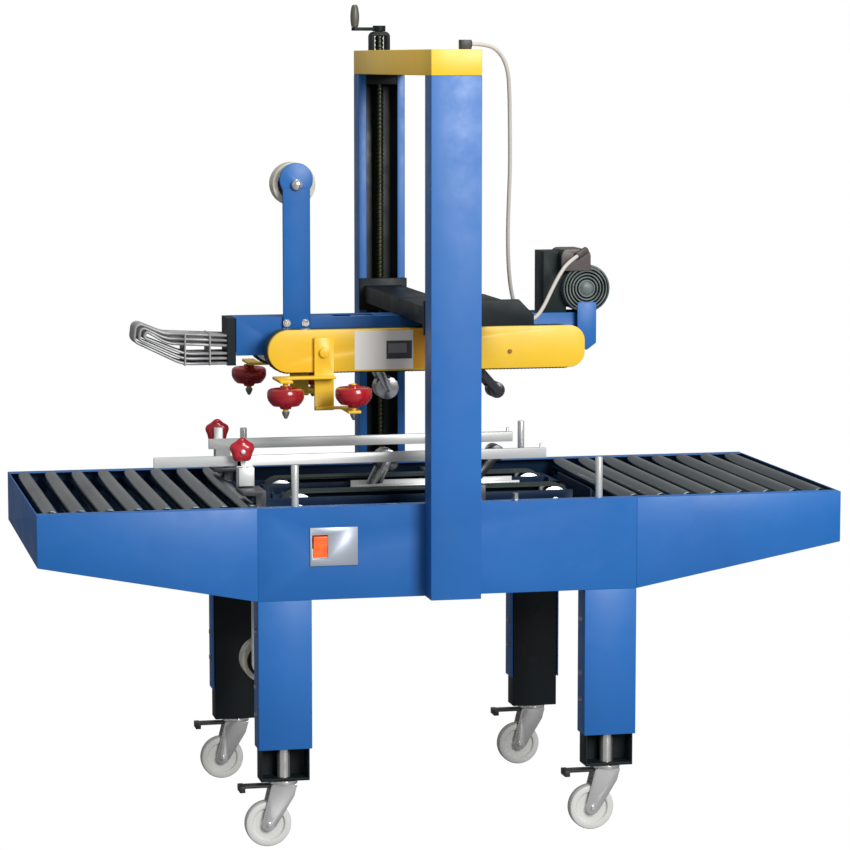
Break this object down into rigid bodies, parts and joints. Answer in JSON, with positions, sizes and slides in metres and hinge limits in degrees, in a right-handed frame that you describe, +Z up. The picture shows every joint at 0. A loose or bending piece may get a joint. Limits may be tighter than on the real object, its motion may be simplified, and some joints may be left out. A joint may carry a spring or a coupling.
{
  "type": "carton sealer machine",
  "caption": "Belt-driven carton sealing machine with roller tables, castered legs, two columns and a crank-lifted tape head.",
  "frame": {"origin": "on the floor under the middle of the machine", "axes": "+X the way cartons travel, -Y the operator's side, +Z up"},
  "size_m": [1.77, 0.85, 1.8124],
  "materials": {
    "blue_paint": "semi-gloss",
    "yellow_paint": "semi-gloss",
    "black_paint": "satin",
    "zinc": "zinc plated",
    "steel": "ground",
    "chrome": "bright",
    "black_plastic": "matte",
    "white_plastic": "matte",
    "grip_plastic": "matte",
    "red_rubber": "soft",
    "red_plastic": "gloss",
    "orange_plastic": "gloss",
    "belt_rubber": "matte",
    "tape": "gloss",
    "motor_paint": "satin",
    "plate_alloy": "satin",
    "conduit": "matte"
  },
  "bodies": {
    "root": {"near_side_panel": "blue_paint", "far_side_panel": "blue_paint", "outer_legs": "blue_paint", "roller_table_frames": "blue_paint", "conveyor_rollers": "zinc", "bed_deck": "blue_paint", "rail_brackets": "zinc", "near_column": "blue_paint", "far_column": "blue_paint", "bridge_cover": "yellow_paint", "screw_chain": "steel", "frame_fittings": "black_paint", "lower_belts": "belt_rubber", "lower_gearmotor": "motor_paint", "lower_tape_frame": "steel", "switch_plate": "plate_alloy"},
    "legs": {"inner_legs": "black_paint"},
    "head": {"carriage_beam": "black_paint", "head_body": "blue_paint", "near_belt_guard": "yellow_paint", "far_belt_guard": "yellow_paint", "upper_belts": "belt_rubber", "upper_gearmotor": "motor_paint", "tape_arm": "blue_paint", "upper_tape_frame": "steel", "infeed_ski": "steel", "head_cable": "conduit"},
    "near_screw": {"near_lead_screw": "steel"},
    "crank": {"far_lead_screw": "steel", "crank_arm": "black_paint"},
    "grip": {"crank_grip": "grip_plastic"},
    "lower_drive": {"lower_drive_pulleys": "steel"},
    "lower_idler": {"lower_idler_pulleys": "steel"},
    "lower_roll": {"lower_tape_roll": "tape"},
    "lower_front_arm": {"lower_front_roller_arm": "steel"},
    "lower_rear_arm": {"lower_rear_roller_arm": "steel"},
    "upper_front_arm": {"upper_front_roller_arm": "steel"},
    "upper_rear_arm": {"upper_rear_roller_arm": "steel"},
    "upper_drive": {"upper_drive_pulleys": "steel"},
    "upper_idler": {"upper_idler_pulleys": "steel"},
    "upper_roll": {"upper_tape_roll": "tape"},
    "near_squeeze": {"near_squeeze_arm": "yellow_paint"},
    "far_squeeze": {"far_squeeze_arm": "yellow_paint"},
    "near_front_roller": {"near_front_squeeze_roller": "red_rubber"},
    "near_rear_roller": {"near_rear_squeeze_roller": "red_rubber"},
    "far_front_roller": {"far_front_squeeze_roller": "red_rubber"},
    "far_rear_roller": {"far_rear_squeeze_roller": "red_rubber"},
    "near_rail": {"near_guide_rail": "zinc"},
    "far_rail": {"far_guide_rail": "zinc"},
    "near_knob": {"near_rail_knob": "red_plastic"},
    "far_knob": {"far_rail_knob": "red_plastic"},
    "rocker": {"power_rocker": "orange_plastic"},
    "near_infeed_fork": {"near_infeed_caster_fork": "chrome"},
    "near_infeed_wheel": {"near_infeed_caster_wheel": "white_plastic"},
    "near_outfeed_fork": {"near_outfeed_caster_fork": "chrome"},
    "near_outfeed_wheel": {"near_outfeed_caster_wheel": "white_plastic"},
    "far_infeed_fork": {"far_infeed_caster_fork": "chrome"},
    "far_infeed_wheel": {"far_infeed_caster_wheel": "white_plastic"},
    "far_outfeed_fork": {"far_outfeed_caster_fork": "chrome"},
    "far_outfeed_wheel": {"far_outfeed_caster_wheel": "white_plastic"}
  },
  "joints": [
    {"name": "table_height", "type": "slide", "parent": "root", "child": "legs", "axis": [0, 0, -1], "range_m": [-0.06, 0.1]},
    {"name": "near_infeed_caster_swivel", "type": "hinge", "parent": "legs", "child": "near_infeed_fork", "pos_m": [-0.36, -0.332, 0.1], "axis": [0, 0, 1], "continuous": true},
    {"name": "near_infeed_wheel_roll", "type": "hinge", "parent": "near_infeed_fork", "child": "near_infeed_wheel", "pos_m": [-0.395, -0.332, 0.05], "axis": [0, 1, 0], "continuous": true},
    {"name": "near_outfeed_caster_swivel", "type": "hinge", "parent": "legs", "child": "near_outfeed_fork", "pos_m": [0.36, -0.332, 0.1], "axis": [0, 0, 1], "continuous": true},
    {"name": "near_outfeed_wheel_roll", "type": "hinge", "parent": "near_outfeed_fork", "child": "near_outfeed_wheel", "pos_m": [0.325, -0.332, 0.05], "axis": [0, 1, 0], "continuous": true},
    {"name": "far_infeed_caster_swivel", "type": "hinge", "parent": "legs", "child": "far_infeed_fork", "pos_m": [-0.36, 0.332, 0.1], "axis": [0, 0, 1], "continuous": true},
    {"name": "far_infeed_wheel_roll", "type": "hinge", "parent": "far_infeed_fork", "child": "far_infeed_wheel", "pos_m": [-0.395, 0.332, 0.05], "axis": [0, 1, 0], "continuous": true},
    {"name": "far_outfeed_caster_swivel", "type": "hinge", "parent": "legs", "child": "far_outfeed_fork", "pos_m": [0.36, 0.332, 0.1], "axis": [0, 0, 1], "continuous": true},
    {"name": "far_outfeed_wheel_roll", "type": "hinge", "parent": "far_outfeed_fork", "child": "far_outfeed_wheel", "pos_m": [0.325, 0.332, 0.05], "axis": [0, 1, 0], "continuous": true},
    {"name": "head_lift", "type": "slide", "parent": "root", "child": "head", "axis": [0, 0, 1], "range_m": [-0.09, 0.235], "deforming": ["head_cable"]},
    {"name": "near_screw_turn", "type": "hinge", "parent": "root", "child": "near_screw", "pos_m": [0, -0.395, 1.1], "axis": [0, 0, 1], "range_deg": [-3241, 8461]},
    {"name": "crank_turn", "type": "hinge", "parent": "root", "child": "crank", "pos_m": [0, 0.395, 1.1], "axis": [0, 0, 1], "range_deg": [-3241, 8461]},
    {"name": "grip_spin", "type": "hinge", "parent": "crank", "child": "grip", "pos_m": [-0.058, 0.395, 1.79], "axis": [0, 0, 1], "continuous": true},
    {"name": "lower_drive_turn", "type": "hinge", "parent": "root", "child": "lower_drive", "pos_m": [0.29, 0, 0.702], "axis": [0, 1, 0], "continuous": true},
    {"name": "lower_idler_turn", "type": "hinge", "parent": "root", "child": "lower_idler", "pos_m": [-0.29, 0, 0.702], "axis": [0, 1, 0], "continuous": true},
    {"name": "lower_roll_turn", "type": "hinge", "parent": "root", "child": "lower_roll", "pos_m": [-0.352, 0, 0.345], "axis": [0, 1, 0], "continuous": true},
    {"name": "lower_front_swing", "type": "hinge", "parent": "root", "child": "lower_front_arm", "pos_m": [-0.11, 0, 0.703], "axis": [0, 1, 0], "range_deg": [0, 55], "stiffness_Nm_per_rad": 3, "springref_deg": -22.92},
    {"name": "lower_rear_swing", "type": "hinge", "parent": "root", "child": "lower_rear_arm", "pos_m": [0.1, 0, 0.703], "axis": [0, 1, 0], "range_deg": [0, 44]},
    {"name": "upper_drive_turn", "type": "hinge", "parent": "head", "child": "upper_drive", "pos_m": [0.309, 0, 1.049], "axis": [0, 1, 0], "continuous": true},
    {"name": "upper_idler_turn", "type": "hinge", "parent": "head", "child": "upper_idler", "pos_m": [-0.311, 0, 1.049], "axis": [0, 1, 0], "continuous": true},
    {"name": "upper_roll_turn", "type": "hinge", "parent": "head", "child": "upper_roll", "pos_m": [-0.277, 0, 1.411], "axis": [0, 1, 0], "continuous": true},
    {"name": "upper_front_swing", "type": "hinge", "parent": "head", "child": "upper_front_arm", "pos_m": [-0.11, 0, 1.04], "axis": [0, -1, 0], "range_deg": [0, 55], "stiffness_Nm_per_rad": 3, "springref_deg": -11.46},
    {"name": "upper_rear_swing", "type": "hinge", "parent": "head", "child": "upper_rear_arm", "pos_m": [0.1, 0, 1.04], "axis": [0, -1, 0], "range_deg": [0, 44]},
    {"name": "near_squeeze_slide", "type": "slide", "parent": "head", "child": "near_squeeze", "axis": [0, -1, 0], "range_m": [0, 0.08]},
    {"name": "far_squeeze_slide", "type": "slide", "parent": "head", "child": "far_squeeze", "axis": [0, 1, 0], "range_m": [0, 0.08]},
    {"name": "near_front_roller_spin", "type": "hinge", "parent": "near_squeeze", "child": "near_front_roller", "pos_m": [-0.337, -0.25, 0.962], "axis": [0, 0, 1], "continuous": true},
    {"name": "near_rear_roller_spin", "type": "hinge", "parent": "near_squeeze", "child": "near_rear_roller", "pos_m": [-0.188, -0.25, 0.962], "axis": [0, 0, 1], "continuous": true},
    {"name": "near_rail_slide", "type": "slide", "parent": "root", "child": "near_rail", "axis": [0, -1, 0], "range_m": [-0.058, 0.08]},
    {"name": "near_knob_turn", "type": "hinge", "parent": "near_rail", "child": "near_knob", "pos_m": [-0.422, -0.185, 0.84], "axis": [0, -1, 0], "range_deg": [0, 360]},
    {"name": "far_front_roller_spin", "type": "hinge", "parent": "far_squeeze", "child": "far_front_roller", "pos_m": [-0.337, 0.25, 0.962], "axis": [0, 0, 1], "continuous": true},
    {"name": "far_rear_roller_spin", "type": "hinge", "parent": "far_squeeze", "child": "far_rear_roller", "pos_m": [-0.188, 0.25, 0.962], "axis": [0, 0, 1], "continuous": true},
    {"name": "far_rail_slide", "type": "slide", "parent": "root", "child": "far_rail", "axis": [0, 1, 0], "range_m": [-0.058, 0.08]},
    {"name": "far_knob_turn", "type": "hinge", "parent": "far_rail", "child": "far_knob", "pos_m": [-0.422, 0.185, 0.84], "axis": [0, 1, 0], "range_deg": [0, 360]},
    {"name": "power_switch", "type": "hinge", "parent": "root", "child": "rocker", "pos_m": [-0.284, -0.366, 0.6525], "axis": [1, 0, 0], "range_deg": [-14, 0]}
  ],
  "couplings": [
    {"joint": "near_screw_turn", "follows": "head_lift", "rad_per_m": 628.32},
    {"joint": "crank_turn", "follows": "head_lift", "rad_per_m": 628.32},
    {"joint": "lower_idler_turn", "follows": "lower_drive_turn", "ratio": 1},
    {"joint": "upper_idler_turn", "follows": "upper_drive_turn", "ratio": 1},
    {"joint": "lower_rear_swing", "follows": "lower_front_swing", "ratio": 0.8},
    {"joint": "upper_rear_swing", "follows": "upper_front_swing", "ratio": 0.8}
  ]
}
